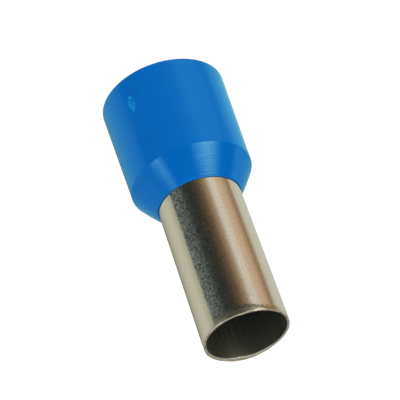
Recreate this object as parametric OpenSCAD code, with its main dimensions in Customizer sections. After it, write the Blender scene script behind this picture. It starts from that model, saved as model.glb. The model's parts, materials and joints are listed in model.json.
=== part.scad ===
// Insulated wire-end ferrule: a flared copper sleeve seated in a moulded plastic collar.
// It stands on the collar's open rim, with the wire entry at z = 0 and the pin upwards.

/* [Sleeve] */
// Diameter of the bore that takes the stripped strands
conductor_d = 6.0; // [5:0.1:6.6]
// Wall of the sleeve, the same from the funnel to the tip
sleeve_wall = 0.2; // [0.15:0.05:0.3]
// Bare length of sleeve that stands out of the collar
pin_length = 11.9; // [8:0.1:25]
// Bevel that breaks both edges of the cut tip
tip_break = 0.04; // [0.02:0.01:0.06]

/* [Funnel] */
// Slope of the sleeve's flared end, measured from the axis in degrees
funnel_angle = 38; // [30:1:45]
// Radius of the bend between tube and funnel, on the sleeve's outside
funnel_bend = 1.5; // [0.5:0.1:2]
// Clear width between the funnel's edge and the collar's bore
funnel_edge_gap = 0.3; // [0.1:0.05:0.4]

/* [Collar] */
// Length of the collar along the axis
collar_length = 10.1; // [8:0.1:16]
// Diameter of the bore that takes the wire's insulation
insulation_d = 8.8; // [8.2:0.1:10]
// Wall of the skirt at its open rim
skirt_wall = 0.475; // [0.4:0.025:0.8]
// How much the skirt's outside radius shrinks from the rim to the shoulder
skirt_draft = 0.15; // [0:0.01:0.2]
// Length of the cone from the shoulder to the nose
nose_length = 2.15; // [1.8:0.05:2.4]
// Thickness of the lip that the cone leaves on the tube
nose_lip = 0.05; // [0.03:0.01:0.2]
// Straight length of tube that the neck grips before the funnel's bend starts
grip_length = 0.2; // [0.1:0.1:1]

/* [Edges] */
// Rounding of the rim's outer edge
rim_round = 0.2; // [0.05:0.05:0.25]
// Bevel that leads the insulation into the bore
lead_in = 0.1; // [0.05:0.05:0.15]
// Rounding of the shoulder between skirt and cone
shoulder_round = 0.2; // [0.1:0.05:0.5]
// Rounding where the collar's bore turns into the funnel seat
seat_round = 0.3; // [0.1:0.05:0.5]

/* [Fit] */
// Clearance between the sleeve and the collar's seat
seat_gap = 0.02; // [0.01:0.01:0.04]

/* [Hidden] */

TURN_FACETS = 96;
ARC_STEPS = 8;

bore_r = conductor_d / 2;
sleeve_r = bore_r + sleeve_wall;
insulation_r = insulation_d / 2;
funnel_r = insulation_r - funnel_edge_gap;

rim_r = insulation_r + skirt_wall;
shoulder_r = rim_r - skirt_draft;
shoulder_z = collar_length - nose_length;
neck_r = sleeve_r + seat_gap;
nose_r = neck_r + nose_lip;

bend_z = collar_length - grip_length - funnel_bend * tan(funnel_angle / 2);
tip_z = collar_length + pin_length;

// Where tube and funnel meet on the skin that lies `inset` inside the sleeve's outside.
// A skin outside it, such as the seat in the collar, has a negative inset.
function bend_corner(inset) = [sleeve_r - inset, bend_z - inset * tan(funnel_angle / 2)];

// The point of that skin's cone at a given radius
function funnel_point(radius, inset) =
    let (corner = bend_corner(inset))
    [radius, corner.y - (radius - corner.x) / tan(funnel_angle)];

// Outlines are lists of corners, each given as [radius from the axis, height, rounding].
function corner(point, rounding = 0) = [point.x, point.y, rounding];
function flat(corner) = [corner.x, corner.y];
function unit(v) = v / norm(v);

// The corner itself where it is sharp, and otherwise the arc that touches both its sides
function corner_points(before, here, after, rounding) =
    rounding == 0 ? [here] :
    let (
        back = unit(before - here),
        ahead = unit(after - here),
        half_angle = acos(back * ahead) / 2,
        turn = 180 - 2 * half_angle,
        centre = here + unit(back + ahead) * rounding / sin(half_angle),
        first = here + back * rounding / tan(half_angle) - centre,
        last = here + ahead * rounding / tan(half_angle) - centre
    )
    [for (i = [0:ARC_STEPS])
        let (t = i / ARC_STEPS)
        centre + (first * sin((1 - t) * turn) + last * sin(t * turn)) / sin(turn)];

function outline(corners) =
    let (n = len(corners))
    [for (i = [0:n - 1])
        each corner_points(
            flat(corners[(i + n - 1) % n]),
            flat(corners[i]),
            flat(corners[(i + 1) % n]),
            corners[i].z)];

module turned(corners) {
    rotate_extrude($fn = TURN_FACETS)
        polygon(outline(corners));
}

// Drawn copper tube, tinned all over, with its wire end flared into a funnel.
// Its wall keeps one thickness: the inner skin is the outer one set in by the wall.
module copper_sleeve() {
    funnel_edge_inset = sleeve_wall * cos(funnel_angle);
    color("#bdb79f")
        turned([
            corner(funnel_point(funnel_r, 0)),
            corner(bend_corner(0), funnel_bend),
            [sleeve_r, tip_z - tip_break, 0],
            [sleeve_r - tip_break, tip_z, 0],
            [bore_r + tip_break, tip_z, 0],
            [bore_r, tip_z - tip_break, 0],
            corner(bend_corner(sleeve_wall), funnel_bend + sleeve_wall),
            corner(funnel_point(funnel_r - funnel_edge_inset, sleeve_wall))
        ]);
}

// One plastic moulding: a thin skirt with draft, a cone that closes on the tube, and
// inside it a seat that follows the sleeve's tube, bend and funnel at seat_gap.
module plastic_collar() {
    color("#0a6cc0")
        turned([
            [rim_r, 0, rim_round],
            [shoulder_r, shoulder_z, shoulder_round],
            [nose_r, collar_length, 0],
            [neck_r, collar_length, 0],
            corner(bend_corner(-seat_gap), funnel_bend - seat_gap),
            corner(funnel_point(insulation_r, -seat_gap), seat_round),
            [insulation_r, lead_in, 0],
            [insulation_r + lead_in, 0, 0]
        ]);
}

copper_sleeve();
plastic_collar();
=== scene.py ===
# %% [markdown]
# # An insulated wire ferrule
# A wire ferrule is a short end cap for stranded wire. The stripped strands go through the collar into a
# thin metal sleeve, and a crimping tool squeezes the sleeve round them. Two real pieces make it up: a
# tube of soft copper with a tin plating, and a blue plastic collar that is moulded to hold it and to
# guide the strands in. The ferrule stands on the open rim of its collar, with the metal pin upwards.
#
# The CAD model fixes where everything is. It is loaded first, and the main sizes come from it.

# %% Load the CAD model
import json
import math

import bpy
import numpy as np
from mathutils import Matrix, Vector


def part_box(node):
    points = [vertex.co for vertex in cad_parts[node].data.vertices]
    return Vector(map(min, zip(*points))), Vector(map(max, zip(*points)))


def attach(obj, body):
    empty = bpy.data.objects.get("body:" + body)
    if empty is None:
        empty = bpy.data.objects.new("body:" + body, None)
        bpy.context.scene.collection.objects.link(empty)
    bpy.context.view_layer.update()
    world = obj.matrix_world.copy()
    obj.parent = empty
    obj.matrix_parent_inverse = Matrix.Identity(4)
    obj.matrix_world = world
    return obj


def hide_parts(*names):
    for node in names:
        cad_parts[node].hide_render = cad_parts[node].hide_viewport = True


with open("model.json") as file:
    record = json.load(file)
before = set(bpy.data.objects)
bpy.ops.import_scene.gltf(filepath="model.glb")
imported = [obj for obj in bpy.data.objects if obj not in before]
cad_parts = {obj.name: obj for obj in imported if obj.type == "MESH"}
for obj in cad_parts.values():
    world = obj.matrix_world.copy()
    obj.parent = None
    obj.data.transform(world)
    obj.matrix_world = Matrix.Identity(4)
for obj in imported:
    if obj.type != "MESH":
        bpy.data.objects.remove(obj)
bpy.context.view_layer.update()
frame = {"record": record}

# %% [markdown]
# ## Sizes
# The record that travels with the CAD model holds the real bores and the pin, so their radii are read
# from there, and the heights of tip and nose come from the boxes of the two CAD solids. What neither
# holds, such as the funnel inside, is named here once. All sizes are in millimetres and degrees.
# Blender works in metres, so one factor turns a finished shape into metres.

# %% Read the main sizes
MM = 0.001
fits = {mount["name"]: mount["dims"] for mount in frame["record"]["mounts"] if mount["dims"]}
sleeve_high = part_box("copper_sleeve")[1] / MM
collar_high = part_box("plastic_collar")[1] / MM

bore_r = fits["conductor_bore"]["r_mm"]
sleeve_r = fits["pin"]["r_mm"]
wire_r = fits["insulation_bore"]["r_mm"]
tip_z = sleeve_high.z
nose_z = collar_high.z
rim_r = min(collar_high.x, collar_high.y)
wall = sleeve_r - bore_r

# %% Name the sizes that the record leaves out
shoulder_r = 4.725  # where the skirt ends and the cone starts
shoulder_z = 7.95
nose_r = 3.27  # outside of the collar's narrow end
neck_r = 3.22  # the hole in it that the tube comes out of
funnel_r = 4.1  # widest part of the bell at the tube's hidden end
funnel_angle = math.radians(38)
bend_r = 1.5  # bend from tube to bell
grip = 0.2  # straight length that the nose holds
seat_gap = 0.02  # room between bell and seat
bend_z = nose_z - grip - bend_r * math.tan(funnel_angle / 2)
print(f"tip at {tip_z:.2f} mm, nose at {nose_z:.2f} mm, wall {wall:.2f} mm, bend at {bend_z:.3f} mm")

# %% [markdown]
# ## Profiles and turning
# Both pieces are turned shapes: a profile drawn in the plane of radius and height, carried once round
# the axis. Blender's Screw modifier could do that, but a grid worked out with numpy lets the cut end and
# the gate scar change the shape point by point afterwards. The profile is a chain of corners, each with
# its own rounding radius, because nothing made by a press or in a mould has a knife edge. A rounded
# corner is an arc that touches both of its sides. Turning the profile is one array operation: the point
# (radius, height) at azimuth a goes to (radius sin a, -radius cos a, height), so azimuth 0 faces the
# camera and grows towards +X.

# %% Round a profile's corners
ARC_POINTS = 7


def rounded(corners):
    """Closed profile from (radius, height, rounding) corners. Each corner becomes an arc with its centre
    on the bisector, at rounding / sin(half angle) from the corner, from one touching point to the other."""
    places = np.array([corner[:2] for corner in corners], float)
    points = []
    for here, before, after, corner in zip(places, np.roll(places, 1, 0), np.roll(places, -1, 0), corners):
        if corner[2] == 0:
            points.append(here[None])
            continue
        to_before = (before - here) / np.linalg.norm(before - here)
        to_after = (after - here) / np.linalg.norm(after - here)
        half = math.acos(np.clip(to_before @ to_after, -1, 1)) / 2
        bisector = (to_before + to_after) / np.linalg.norm(to_before + to_after)
        centre = here + bisector * corner[2] / math.sin(half)
        start = here + to_before * corner[2] / math.tan(half) - centre
        end = here + to_after * corner[2] / math.tan(half) - centre
        turn = math.acos(np.clip(start @ end / corner[2] ** 2, -1, 1))
        share = np.linspace(0, 1, ARC_POINTS)[:, None]
        arc = (np.sin((1 - share) * turn) * start + np.sin(share * turn) * end) / math.sin(turn)
        points.append(centre + arc)
    return np.concatenate(points)


def densified(profile, longest):
    """The same closed profile with extra points: a side longer than longest(its middle) is cut evenly."""
    sides = []
    for start, end in zip(profile, np.roll(profile, -1, 0)):
        count = max(1, math.ceil(np.linalg.norm(end - start) / longest(*(start + end) / 2)))
        sides.append(start + (end - start) * np.arange(count)[:, None] / count)
    return np.concatenate(sides)


# %% Turn a profile into a mesh
def turned(name, radius, height, azimuth):
    """Mesh of a closed profile turned once round the axis. radius and height are grids of profile point
    by azimuth: x = radius sin a, y = -radius cos a, z = height. Both directions join up, so it is closed."""
    rows, columns = radius.shape
    grid = np.stack([radius * np.sin(azimuth), -radius * np.cos(azimuth), height], -1) * MM
    row, column = np.meshgrid(np.arange(rows), np.arange(columns), indexing="ij")
    next_row, next_column = (row + 1) % rows, (column + 1) % columns
    faces = np.stack([row * columns + column, row * columns + next_column,
                      next_row * columns + next_column, next_row * columns + column], -1).reshape(-1, 4)
    mesh = bpy.data.meshes.new(name)
    mesh.from_pydata(grid.reshape(-1, 3), [], faces)
    mesh.validate()
    piece = bpy.data.objects.new(name, mesh)
    bpy.context.scene.collection.objects.link(piece)
    mesh.shade_smooth()
    print(f"{name}: {rows} x {columns} points, {2 * len(faces)} triangles")
    return piece


def mark(piece, name, share):
    """Stores a share from 0 to 1 at every point of a piece, for its material to read."""
    paint = piece.data.attributes.new(name, "FLOAT", "POINT")
    paint.data.foreach_set("value", share.astype(np.float32).ravel())


# %% Humps for small shapes
def bump(value, centre, width):
    """A smooth hump between 0 and 1: exp(-((value - centre) / width)^2)."""
    return np.exp(-(((value - centre) / width) ** 2))


def turn_from(azimuth, centre):
    """Signed angle in degrees from centre to azimuth, the short way round."""
    return (np.degrees(azimuth) - centre + 180) % 360 - 180


def humps(azimuth, *rows):
    """Sum of humps round the axis, one for each row of (size in mm, azimuth and width in degrees)."""
    return sum(size * bump(turn_from(azimuth, centre), 0, width) for size, centre, width in rows)


# %% [markdown]
# ## The tinned sleeve
# The sleeve starts as a length of thin copper tube. One end is belled out in a press, so that it keys
# behind the collar's nose and leaves a funnel for the strands. The other end is cut off and stays as
# the cutter left it: its last half to three quarters of a millimetre are drawn in, the mouth isn't quite
# round, and a burr stands out on the side where the cutter broke through. These are shapes, so they are
# made in the mesh and not painted on, and the metal's mirror bands bend over the lip by themselves. The
# straight wall gets few points, the bend and the cut end get many.

# %% Profile of the sleeve
cut_length = 1.2  # what the cutter can have touched
cut_z = tip_z - cut_length


def off_wall(inset):
    """Corner between tube and bell, inset by a depth from the outer face."""
    return [sleeve_r - inset, bend_z - inset * math.tan(funnel_angle / 2)]


def on_bell(radius, inset):
    """Point on the bell at a radius: down from off_wall at the bell's own slope."""
    start_r, start_z = off_wall(inset)
    return [radius, start_z - (radius - start_r) / math.tan(funnel_angle)]


def longest_on_sleeve(radius, height):
    """Longest side of the profile at a height: shortest across the lip, short over the cut length."""
    if height > tip_z - 0.01:
        return 0.025
    return 0.04 if height > cut_z else 0.5


sleeve_profile = densified(rounded([
    (*on_bell(funnel_r, 0), 0.02),
    (*off_wall(0), bend_r),
    (sleeve_r, cut_z, 0),
    (sleeve_r, tip_z, 0.03),
    (bore_r, tip_z, 0.03),
    (bore_r, cut_z, 0),
    (*off_wall(wall), bend_r + wall),
    (*on_bell(funnel_r - wall * math.cos(funnel_angle), wall), 0.02),
]), longest_on_sleeve)
print("sleeve profile:", len(sleeve_profile), "points")

# %% Draw in the lip and raise the burr
around = np.radians(np.arange(0, 360, 1.25))[None]
r, z = sleeve_profile[:, :1], sleeve_profile[:, 1:]
edge_length = 0.28
widening = 0.055  # the tube is a little wider at the tip than at the nose
depth = np.clip((r - bore_r) / wall, 0, 1) * (z > cut_z - 0.001)  # 0 on the inner face, 1 on the outer
last_edge = np.clip((z - (tip_z - edge_length)) / edge_length, 0, 1)
drawn_length = 0.75 + humps(around, (0.5, 0, 30), (-0.5, 0, 72))
last_bit = np.clip(z - (tip_z - drawn_length), 0, 1)
drawn_in = -0.13 * last_bit ** 2 * depth
burr = humps(around, (0.41, 170, 32), (0.16, 122, 28), (0.05, -125, 40))
burr_out = burr * last_edge ** 1.5 * (0.04 + 0.96 * depth)
mouth = -0.02 + humps(around, (0.03, -68, 26), (-0.05, -8, 16), (0.045, 163, 33))
out_of_round = mouth * np.clip((z - cut_z) / cut_length, 0, 1) ** 2 * (1 - depth)
pressed = humps(around, (0.03, 159, 13)) * (1 - depth) ** 2
ragged = 0.012 * (1 + np.sin(5 * around + 1) * np.sin(11 * around)) / 2 + 0.006 * (1 + np.sin(23 * around))
wider = widening * np.clip((z - nose_z) / (tip_z - nose_z), 0, 1)

# %% Turn the sleeve
tin_radius = r + wider + drawn_in + burr_out + out_of_round
tin_height = z - last_edge ** 2 * (ragged + 0.07 * burr * depth ** 2 + pressed)
tinned_sleeve = turned("tinned_sleeve", tin_radius, tin_height, around)
mark(tinned_sleeve, "bare_copper", bump(depth, 0.55, 0.38) * (z > tip_z - 0.02) + 0 * around)
mark(tinned_sleeve, "inside", (depth < 0.2) * (r < sleeve_r - 0.1) * (z > bend_z) + 0 * around)
across_mouth = 2 * tin_radius[z[:, 0] > cut_z]
print(f"mouth {across_mouth.min():.2f} to {across_mouth.max():.2f} mm across")

# %% [markdown]
# ## The blue collar
# The collar is moulded in polypropylene. Its skirt takes the insulation of the wire, a short cone runs
# up to the nose that holds the tube, and inside, a seat follows the bell of the sleeve with a hair of
# room all along. A moulding copies its mould: the cone shows the fine rings that the lathe left in the
# mould, and the skirt has the small scar of the gate, where the plastic was let in. Both are carved
# into the surface here, the rings a few thousandths of a millimetre deep, so that the light finds them.
# The real rings lie closer together. They are cut 0.17 and 0.24 mm apart here, which is as fine as shows.

# %% Profile of the collar
gate_azimuth = 29
gate_z = 2.47
gate_reach = 0.85  # the skirt gets fine rows this far above and below the gate
outside_r = 4.6  # beyond this radius lies the skirt's outer face
draft = (shoulder_r - rim_r) / shoulder_z


def longest_on_collar(radius, height):
    """Longest side of the profile: short round the gate, shorter on the cone, which carries the rings."""
    if radius > outside_r and abs(height - gate_z) < gate_reach:
        return 0.04
    return 0.022 if height > shoulder_z and radius > neck_r + 0.02 else 0.5


collar_profile = densified(rounded([
    (rim_r, 0, 0.05),
    (rim_r + draft * (gate_z - gate_reach), gate_z - gate_reach, 0),
    (rim_r + draft * (gate_z + gate_reach), gate_z + gate_reach, 0),
    (shoulder_r, shoulder_z, 0.14),
    (nose_r, nose_z, 0.05),
    (neck_r, nose_z, 0.01),
    (*off_wall(-seat_gap), bend_r - seat_gap),
    (*on_bell(wire_r, -seat_gap), 0.3),
    (wire_r, 0.1, 0.02),
    (wire_r + 0.1, 0, 0.02),
]), longest_on_collar)
print("collar profile:", len(collar_profile), "points")

# %% Cut the lathe rings on the cone
coarse = np.arange(-180, 180, 1.5)
fine = gate_azimuth + np.arange(-6, 6.01, 0.3)
around = np.radians(np.sort(np.concatenate([coarse[np.abs(coarse - gate_azimuth) > 6.5], fine])))[None]
r, z = collar_profile[:, :1], collar_profile[:, 1:]
slant = math.atan2(shoulder_r - nose_r, nose_z - shoulder_z)
cone_r = shoulder_r - (z - shoulder_z) * math.tan(slant)
on_cone = (z > shoulder_z + 0.1) & (np.abs(r - cone_r) < 0.02)
along = (z - shoulder_z) / math.cos(slant)
cone_share = np.clip((z - shoulder_z) / (nose_z - shoulder_z), 0, 1)
crown = 0.08 * cone_share * (1 - cone_share)  # the cone is very slightly full
rings = on_cone * (0.0014 * np.sin(2 * np.pi * along / 0.17) + 0.0013 * np.sin(2 * np.pi * along / 0.24 + 1)
                   + crown)

# %% Shape the gate scar
scar_top = 0.72  # half its length: round below, running to a point above
across = np.radians(turn_from(around, gate_azimuth)) * r
up = z - gate_z
round_end = np.sqrt(np.clip(1 - (np.clip(-up - 0.2, 0, 1) / 0.5) ** 2, 0, 1))
pointed_end = np.clip((scar_top - up) / 0.6, 0, 1) ** 0.8
half_width = 0.24 * round_end * pointed_end
on_scar = (np.abs(up) < scar_top) * (r > outside_r)
within = np.clip((half_width - np.abs(across)) / 0.06, 0, 1) * on_scar
edge = bump(np.abs(across), half_width, 0.04) * on_scar
vestige = bump(across, 0.03, 0.06) * bump(up, -0.64, 0.07) * (r > outside_r)
scar = 0.010 * edge + 0.03 * vestige - 0.004 * within

# %% Turn the collar
blue_collar = turned("blue_collar", r + rings * math.cos(slant) + scar,
                     z + rings * math.sin(slant) + 0 * around, around)
# The scar's fill is faintly whitened; its raised rim and the nub at its top are painted pale as painted
# highlights.
mark(blue_collar, "whitened", np.clip(0.3 * within + 0.45 * edge + 1.0 * vestige, 0, 1))
print(f"gate scar {2 * half_width.max():.2f} mm wide, cone {90 - math.degrees(slant):.1f} degrees steep")

# %% [markdown]
# ## Colours and nodes
# Colours are written as the hex values that a paint program shows. Blender's nodes want linear light,
# so one function converts them. Another adds a node with its settings and its links, and both materials
# and the studio are built with it. A pattern's scale counts its repeats in a metre, so 1000 / scale is
# its size in millimetres.

# %% Helpers for materials
def linear(hex_colour):
    """Linear RGBA of an sRGB hex colour: c / 12.92 below 0.04045, else ((c + 0.055) / 1.055) ^ 2.4."""
    parts = [int(hex_colour[i:i + 2], 16) / 255 for i in (1, 3, 5)]
    return [c / 12.92 if c <= 0.04045 else ((c + 0.055) / 1.055) ** 2.4 for c in parts] + [1]


def add(tree, kind, sockets=None, stops=None, **settings):
    """Adds one node. settings are its properties and sockets its inputs, by name or number: a node links
    its first output, (node, output) links that output, and anything else is the input's value."""
    node = tree.nodes.new("ShaderNode" + kind)
    for name, value in settings.items():
        setattr(node, name, value)
    for name, value in (sockets or {}).items():
        source = value if isinstance(value, tuple) and isinstance(value[0], bpy.types.Node) else (value, 0)
        if isinstance(source[0], bpy.types.Node):
            tree.links.new(source[0].outputs[source[1]], node.inputs[name])
        else:
            node.inputs[name].default_value = value
    for index, (position, colour) in enumerate(stops or []):
        stop = node.color_ramp.elements[index] if index < 2 else node.color_ramp.elements.new(position)
        stop.position = position
        stop.color = linear(colour)
    return node


def new_material(name, piece):
    """An empty material on a piece, and its node tree."""
    material = bpy.data.materials.new(name)
    material.use_nodes = True
    material.node_tree.nodes.clear()
    piece.data.materials.clear()
    piece.data.materials.append(material)
    return material.node_tree


# %% [markdown]
# ## Matt tin on copper
# The tube gets its plating in a bath. Matt tin is a soft, slightly yellowish grey metal that grows in
# crystals and isn't polished. Each crystal is a tiny mirror that leans its own way, mostly along the
# tube, so the metal shows its surroundings in clear bands, and a fine sparkle where a band is dark. A
# noise bump would only blur the bands. Flat facets keep them clear: every cell of a Voronoi pattern gets
# its own lean of up to a degree, as a slope from the middle of the cell. Two parts of the tube differ.
# On the cut face the plating is thin and the copper shows through, and the bore is dull and streaked,
# because the tube was drawn over a tool and little of the bath reaches it. The bore's tone is also darker
# than the outer tin, which paints in part of the shade inside the tube.

# %% Facets of the tin
# Matt electroplated tin: mirror-like up close, frosted as a whole. Real crystals are a few thousandths of
# a millimetre across. They are drawn 0.12 mm wide here, because finer ones wouldn't show.
tin_tree = new_material("matt_tin_on_copper", tinned_sleeve)
tin_place = add(tin_tree, "TexCoord")
grain = add(tin_tree, "TexNoise", {"Vector": (tin_place, "Object"), "Scale": 9000, "Detail": 2,
                                   "Roughness": 0.6})
patch = add(tin_tree, "TexNoise", {"Vector": (tin_place, "Object"), "Scale": 1500, "Detail": 2})
frosted = add(tin_tree, "Math", {0: patch, 1: 0.6, 2: grain}, operation="MULTIPLY_ADD")
crystal = add(tin_tree, "TexVoronoi", {"Vector": (tin_place, "Object"), "Scale": 8500})
offset = add(tin_tree, "VectorMath", {0: (tin_place, "Object"), 1: (crystal, "Position")},
             operation="SUBTRACT")
lean = add(tin_tree, "VectorMath", {0: (crystal, "Color"), 1: (0.012, 0.012, 0.04),
                                    2: (-0.006, -0.006, -0.02)}, operation="MULTIPLY_ADD")
facet = add(tin_tree, "VectorMath", {0: offset, 1: lean}, operation="DOT_PRODUCT")
crystal_height = add(tin_tree, "Math", {0: grain, 1: 0.0000008, 2: (facet, "Value")},
                     operation="MULTIPLY_ADD")

# %% Colours of tin, cut face and bore
# Tin plating is warm grey with little variation. The copper at the cut is tinned over in part, so it is
# more sand than red. The streaks run along the bore. Real ones are much finer, and these are 0.25 mm wide
# so that they show. The bore's tone, darker than the tin outside, paints in part of the shade inside
# the tube.
tin_tone = add(tin_tree, "ValToRGB", {"Fac": grain}, stops=[(0.3, "#c2bdac"), (0.7, "#d0ccbe")])
cut_face = add(tin_tree, "Attribute", attribute_name="bare_copper")
copper_tone = add(tin_tree, "ValToRGB", {"Fac": patch}, stops=[(0.35, "#b09c7a"), (0.65, "#d0c6a4")])
outer_tone = add(tin_tree, "Mix", {0: (cut_face, "Fac"), 6: tin_tone, 7: copper_tone}, data_type="RGBA")
bore = add(tin_tree, "Attribute", attribute_name="inside")
drawn = add(tin_tree, "VectorMath", {0: (tin_place, "Object"), 1: (1.0, 1.0, 0.05)}, operation="MULTIPLY")
streak = add(tin_tree, "TexNoise", {"Vector": drawn, "Scale": 4000, "Detail": 3})
# painted shade: the bore's darker streak colours stand in partly for the shade inside the tube
streak_and_shade_tone = add(tin_tree, "ValToRGB", {"Fac": streak}, stops=[(0.3, "#a0a398"), (0.72, "#bcbeb2")])
smudge = add(tin_tree, "MapRange", {"Value": patch, "From Min": 0.62, "From Max": 0.72,
                                    "To Min": 0.0, "To Max": 0.3})
bore_tone_and_shade = add(tin_tree, "Mix", {0: smudge, 6: streak_and_shade_tone, 7: linear("#d8dcd4")}, data_type="RGBA")
metal_tone = add(tin_tree, "Mix", {0: (bore, "Fac"), 6: (outer_tone, "Result"), 7: (bore_tone_and_shade, "Result")},
                 data_type="RGBA")

# %% Finish of the tin
tin_rough = add(tin_tree, "MapRange", {"Value": frosted, "From Min": 0.80, "From Max": 1.02,
                                       "To Min": 0.07, "To Max": 0.15})
metal_rough = add(tin_tree, "Mix", {0: (bore, "Fac"), 2: tin_rough, 3: 0.34}, data_type="FLOAT")
tin_relief = add(tin_tree, "Bump", {"Height": crystal_height, "Strength": 1.0, "Distance": 1.0})
tin = add(tin_tree, "BsdfPrincipled", {"Base Color": (metal_tone, "Result"), "Metallic": 1.0,
                                       "Roughness": (metal_rough, "Result"), "Normal": tin_relief})
add(tin_tree, "OutputMaterial", {"Surface": tin})
print("tin finish:", len(tin_tree.nodes), "nodes")

# %% [markdown]
# ## Moulded polypropylene
# Polypropylene coloured with a blue masterbatch is even in colour and softly glossy, with an index of
# refraction of about 1.49. Close up it has a faint cloudiness from the pigment, a skin that isn't quite
# flat, and a few specks of dust and unmixed pigment. Where the gate was torn off, it is faintly whitened,
# and the scar's raised rim and the nub at its top are painted paler still, as painted highlights. The
# cone is glossier and duller by turns from ring to ring, as the lathe left its mould. The blue is so
# strong that hardly any red comes back. A thin coat with a blue-green tint takes the last red out of the
# colour without adding a second gloss, because its own index is close to that of air.

# %% Colour of the plastic
# Injection-moulded PP: an even, clean blue. The pigment's clouds are 1.4 mm wide and very faint, and the
# specks are 0.08 mm wide, as on the real one.
blue_tree = new_material("moulded_blue_polypropylene", blue_collar)
blue_place = add(blue_tree, "TexCoord")
cloud = add(blue_tree, "TexNoise", {"Vector": (blue_place, "Object"), "Scale": 700, "Detail": 3})
pigment = add(blue_tree, "ValToRGB", {"Fac": cloud}, stops=[(0.3, "#005db2"), (0.7, "#005fb5")])
cells = add(blue_tree, "TexVoronoi", {"Vector": (blue_place, "Object"), "Scale": 1700})
dot = add(blue_tree, "MapRange", {"Value": (cells, "Distance"), "From Min": 0.05, "From Max": 0.09,
                                  "To Min": 1.0, "To Max": 0.0})
pick = add(blue_tree, "SeparateColor", {"Color": (cells, "Color")})
chance = add(blue_tree, "Math", {0: (pick, "Red"), 1: 0.55}, operation="GREATER_THAN")
speck = add(blue_tree, "Math", {0: dot, 1: chance}, operation="MULTIPLY")
speck_tone = add(blue_tree, "ValToRGB", {"Fac": (pick, "Green")}, stops=[(0.75, "#002c60"), (0.8, "#38a0c8")])
# Pale blue of the gate scar: real whitening in its fill, painted highlight on its rim and nub.
torn_and_glint = add(blue_tree, "Attribute", attribute_name="whitened")
fibre = add(blue_tree, "TexNoise", {"Vector": (blue_place, "Object"), "Scale": 4000, "Detail": 2})
patchy = add(blue_tree, "MapRange", {"Value": fibre, "From Min": 0.4, "From Max": 0.58,
                                     "To Min": 0.15, "To Max": 1.0})
scar_pale_share = add(blue_tree, "Math", {0: (torn_and_glint, "Fac"), 1: patchy}, operation="MULTIPLY")
paler = add(blue_tree, "Mix", {0: scar_pale_share, 6: pigment, 7: linear("#3cacd0")}, data_type="RGBA")
body_tone = add(blue_tree, "Mix", {0: speck, 6: (paler, "Result"), 7: speck_tone}, data_type="RGBA")

# %% Finish of the plastic
# The skirt copies polished steel, so it is evenly glossy. The cone copies turned steel: its roughness
# changes every 0.08 mm of height, which is coarser than a real lathe's feed, so that it shows.
ripple = add(blue_tree, "TexNoise", {"Vector": (blue_place, "Object"), "Scale": 5000, "Detail": 2})
level = add(blue_tree, "SeparateXYZ", {"Vector": (blue_place, "Object")})
ring = add(blue_tree, "TexNoise", {"W": (level, "Z"), "Scale": 12000, "Detail": 1}, noise_dimensions="1D")
ring_rough = add(blue_tree, "MapRange", {"Value": ring, "From Min": 0.38, "From Max": 0.62,
                                         "To Min": 0.06, "To Max": 0.22})
skirt_rough = add(blue_tree, "MapRange", {"Value": ripple, "From Min": 0.3, "From Max": 0.7,
                                          "To Min": 0.12, "To Max": 0.17})
cone_part = add(blue_tree, "Math", {0: (level, "Z"), 1: shoulder_z * MM}, operation="GREATER_THAN")
blue_rough = add(blue_tree, "Mix", {0: cone_part, 2: skirt_rough, 3: ring_rough}, data_type="FLOAT")
blue_relief = add(blue_tree, "Bump", {"Height": ripple, "Strength": 1.0, "Distance": 0.0000003})
plastic = add(blue_tree, "BsdfPrincipled", {
    "Base Color": (body_tone, "Result"), "Roughness": blue_rough, "IOR": 1.49,
    "Specular Tint": linear("#fffff0"), "Specular IOR Level": 0.45, "Normal": blue_relief,
    "Coat Weight": 1.0, "Coat Roughness": 0.15, "Coat IOR": 1.09, "Coat Tint": linear("#94ffff")})
add(blue_tree, "OutputMaterial", {"Surface": plastic})
print("plastic finish:", len(blue_tree.nodes), "nodes")

# %% [markdown]
# ## Stage
# The ferrule stands on a plain white sheet. The sheet is left out of mirror reflections, so that the
# metal shows the studio's walls instead, and it glows a little, so that it stays evenly white. A small
# black disc under the collar, hidden from the camera and from diffuse light, is seen only in the metal's
# mirror: it is painted shade that keeps the inside of the tube dark.

# %% White sheet and a disc of painted shade
def flat_plate(name, corners, reach, height):
    """A flat plate in the plane z = height: its corners lie on a circle of radius reach, evenly spaced."""
    turn = 2 * np.pi * (np.arange(corners) + 0.5) / corners
    places = np.stack([reach * np.cos(turn), reach * np.sin(turn), height + 0 * turn], -1)
    mesh = bpy.data.meshes.new(name)
    mesh.from_pydata(places, [], [range(corners)])
    plate = bpy.data.objects.new(name, mesh)
    bpy.context.scene.collection.objects.link(plate)
    return plate


sheet = flat_plate("white_sheet", 4, 2.1, 0.0)
sheet.visible_glossy = False
card_tree = new_material("white_card", sheet)
card = add(card_tree, "BsdfPrincipled", {"Base Color": linear("#8c8c8c"), "Roughness": 0.9,
                                         "Emission Color": linear("#ffffff"), "Emission Strength": 0.9})
add(card_tree, "OutputMaterial", {"Surface": card})
# painted shade: a black disc that only mirror rays see, darkening the inside of the tube
shade_disc = flat_plate("black_mat", 48, wire_r * MM, -0.00002)
shade_disc.visible_camera = False
shade_disc.visible_diffuse = False
shade_disc_tree = new_material("black_felt", shade_disc)
shade_black = add(shade_disc_tree, "BsdfDiffuse", {"Color": linear("#0a0a0a")})
add(shade_disc_tree, "OutputMaterial", {"Surface": shade_black})

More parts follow.
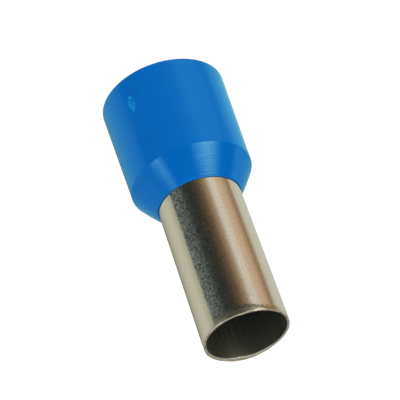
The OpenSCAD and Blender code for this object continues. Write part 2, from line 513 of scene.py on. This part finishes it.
# %% [markdown]
# ## Studio light
# What the metal looks like is decided by what it mirrors, so the surroundings are drawn in the world as
# a small studio: a strip of colours all round for each of four heights, between the ground and an even
# white ceiling. The floor strip has pale walls, a warm board at the camera's right and a black flag in
# front, which gives the tube its dark band. Above it come a darker line and a low strip, which only the
# curved lip of the tube mirrors. The high strip has two soft boxes with dark gaps between them, which put
# the highlights on the cone. A slatted blind hangs before the flag, and the soft boxes have rows too.
# Clear mirrors would show them as stripes, while the tin's crystals, which lean up and down, break them
# into sparkle, and the cone's rings break them into fine lines.

# %% Heading and tilt of a direction
world = bpy.data.worlds.new("studio")
world.use_nodes = True
world.node_tree.nodes.clear()
bpy.context.scene.world = world
studio = world.node_tree
look = add(studio, "TexCoord")
parts = add(studio, "SeparateXYZ", {"Vector": (look, "Generated")})
front = add(studio, "Math", {0: (parts, "Y"), 1: -1.0}, operation="MULTIPLY")
turn = add(studio, "Math", {0: (parts, "X"), 1: front}, operation="ARCTAN2")
heading = add(studio, "MapRange", {"Value": turn, "From Min": -math.pi, "From Max": math.pi})
tilt = add(studio, "Math", {0: (parts, "Z")}, operation="ARCSINE")

# %% Strips of colour all round
def all_round(walls):
    """Colour ramp stops from walls given by heading in degrees: 0 towards the camera, -90 to its right."""
    return [((angle + 180) / 360, tone) for angle, tone in walls.items()]


floor_walls = add(studio, "ValToRGB", {"Fac": heading}, stops=all_round({
    -180: "#c8cac5", -144: "#e2e5dc", -128: "#eeefe6", -111: "#ebe6dc", -98: "#aa8866", -80: "#e6caae",
    -64: "#f6dec4", -56: "#fff7ea", -44: "#fffbf3", -32: "#c0a98c", -16: "#7c6850", 0: "#4e473c",
    16: "#303332", 32: "#323737", 48: "#3c4446", 72: "#4a5454", 75: "#cacdc2", 96: "#ebeade",
    112: "#e7e7db", 128: "#d7d7c8", 144: "#b8baa8", 162: "#94958c", 180: "#94958c"}))
dark_line = add(studio, "ValToRGB", {"Fac": heading}, stops=all_round({
    -180: "#94958c", -126: "#e4e6e1", -98: "#a88a68", -83: "#ae9272", -72: "#a08c74", -48: "#8a8882",
    -24: "#5e564c", 0: "#3e3d36", 48: "#666e69", 68: "#868a7c", 75: "#cacdc2", 108: "#e4e6e1",
    180: "#94958c"}))
low_walls = add(studio, "ValToRGB", {"Fac": heading}, stops=all_round({
    -180: "#b0b2a6", -108: "#e4e6e1", -98: "#a88a68", -83: "#b09a80", -72: "#bcaf9b", -48: "#f4f5ee",
    -24: "#8a8b84", 0: "#5a5c58", 24: "#646660", 48: "#a2a49a", 68: "#aeb0a2", 75: "#cacdc2",
    108: "#e0e0d8", 180: "#b0b2a6"}))
high_walls = add(studio, "ValToRGB", {"Fac": heading}, stops=all_round({
    -180: "#505050", -150: "#585858", -108: "#686868", -100: "#161616", -74: "#161616", -66: "#909090",
    -60: "#c8c4b0", -46: "#fff2d8", -31: "#c8c4b0", -24: "#8c8c8c", -16: "#0c0c0c", 35: "#0c0c0c",
    45: "#b4b4b4", 50: "#b4b4b4", 64: "#606060", 75: "#484848", 85: "#626262", 150: "#585858",
    180: "#505050"}))

# %% Slats, rows and soft boxes
SLATS = 90.0  # a slat and a gap in every 4 degrees of tilt, as 2 pi / 90 radians
slats = add(studio, "Math", {0: tilt, 1: SLATS}, operation="MULTIPLY")
slat_wave = add(studio, "Math", {0: slats}, operation="SINE")
box_height = add(studio, "MapRange", {"Value": tilt, "From Min": math.radians(26),
                                      "From Max": math.radians(42), "To Min": 7.4, "To Max": 1.0},
                 interpolation_type="SMOOTHSTEP")
box_rows = add(studio, "MapRange", {"Value": slat_wave, "From Min": -1.0, "From Max": 1.0,
                                    "To Min": 0.2, "To Max": 1.7})
box_light = add(studio, "Math", {0: box_height, 1: box_rows}, operation="MULTIPLY")
bright_walls = add(studio, "VectorMath", {0: high_walls, "Scale": box_light}, operation="SCALE")
blind_place = add(studio, "ValToRGB", {"Fac": heading}, stops=all_round({
    -20: "#000000", 10: "#363636", 28: "#606060", 42: "#c0c0c0", 70: "#ffffff", 74: "#000000"}))
blind_rows = add(studio, "MapRange", {"Value": slat_wave, "From Min": 0.0, "From Max": 0.7,
                                      "To Min": 0.0, "To Max": 1.0})
low_rows = add(studio, "MapRange", {"Value": slat_wave, "From Min": -1.0, "From Max": 1.0,
                                    "To Min": 0.65, "To Max": 1.2})
low_light = add(studio, "VectorMath", {0: low_walls, "Scale": low_rows}, operation="SCALE")
blind = add(studio, "Math", {0: blind_place, 1: blind_rows}, operation="MULTIPLY")

# %% Stack the strips from the ground to the ceiling
blind_tone = linear("#aab8bc")
ground_tone = linear("#c8c8c2")
ceiling_light = [1.38, 1.38, 1.38, 1]
edges = {}
for name, low, up in (("deep", -60, -46), ("line", -29.2, -25.2), ("rise", -23.5, -17), ("high", 0, 8),
                      ("top", 40, 48)):
    edges[name] = add(studio, "MapRange", {"Value": tilt, "From Min": math.radians(low),
                                           "From Max": math.radians(up)}, interpolation_type="SMOOTHSTEP")
with_blind = add(studio, "Mix", {0: blind, 6: floor_walls, 7: blind_tone}, data_type="RGBA")
to_floor = add(studio, "Mix", {0: edges["deep"], 6: ground_tone, 7: (with_blind, "Result")},
               data_type="RGBA")
to_line = add(studio, "Mix", {0: edges["line"], 6: (to_floor, "Result"), 7: dark_line}, data_type="RGBA")
to_low = add(studio, "Mix", {0: edges["rise"], 6: (to_line, "Result"), 7: low_light}, data_type="RGBA")
to_high = add(studio, "Mix", {0: edges["high"], 6: (to_low, "Result"), 7: bright_walls}, data_type="RGBA")
whole = add(studio, "Mix", {0: edges["top"], 6: (to_high, "Result"), 7: ceiling_light}, data_type="RGBA")
light = add(studio, "Background", {"Color": (whole, "Result"), "Strength": 1.0})
add(studio, "OutputWorld", {"Surface": light})
print("studio:", len(studio.nodes), "nodes")

# %% [markdown]
# ## Camera
# A long lens close to the ferrule looks down on it at 33 degrees, and it is rolled far over, so that
# the standing ferrule lies across the frame with its mouth towards the lower right. The camera is placed
# by its angles and its distance from a point near the middle of the ferrule.

# %% Camera
elevation = math.radians(32.974)
side_turn = math.radians(0.036)
roll = math.radians(160.43)
distance = 146.24 * MM
aim = Vector((-0.077, 0.0, 9.835)) * MM
back = Vector((math.sin(side_turn) * math.cos(elevation), -math.cos(side_turn) * math.cos(elevation),
               math.sin(elevation)))
camera = bpy.data.objects.new("camera", bpy.data.cameras.new("camera"))
camera.data.lens = 176.07
camera.data.sensor_width = 36
camera.data.clip_start = 0.01
upright = back.to_track_quat("Z", "Y").to_matrix().to_4x4()
camera.matrix_world = Matrix.Translation(aim + back * distance) @ upright @ Matrix.Rotation(roll, 4, "Z")
bpy.context.scene.collection.objects.link(camera)
bpy.context.scene.camera = camera
bpy.context.scene.view_settings.view_transform = "Standard"
print("camera at", [round(value / MM, 2) for value in camera.location], "mm")

# %% [markdown]
# ## Tie the pieces to the CAD model
# Each piece rides on the ferrule's one body and stands for its CAD node, which is hidden. The names of
# the nodes' material slots are listed with them but not used.

# %% Put the pieces on the body
for piece, node, slot in ((tinned_sleeve, "copper_sleeve", "tinned_copper"),
                          (blue_collar, "plastic_collar", "blue_plastic")):
    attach(piece, "root")
    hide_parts(node)
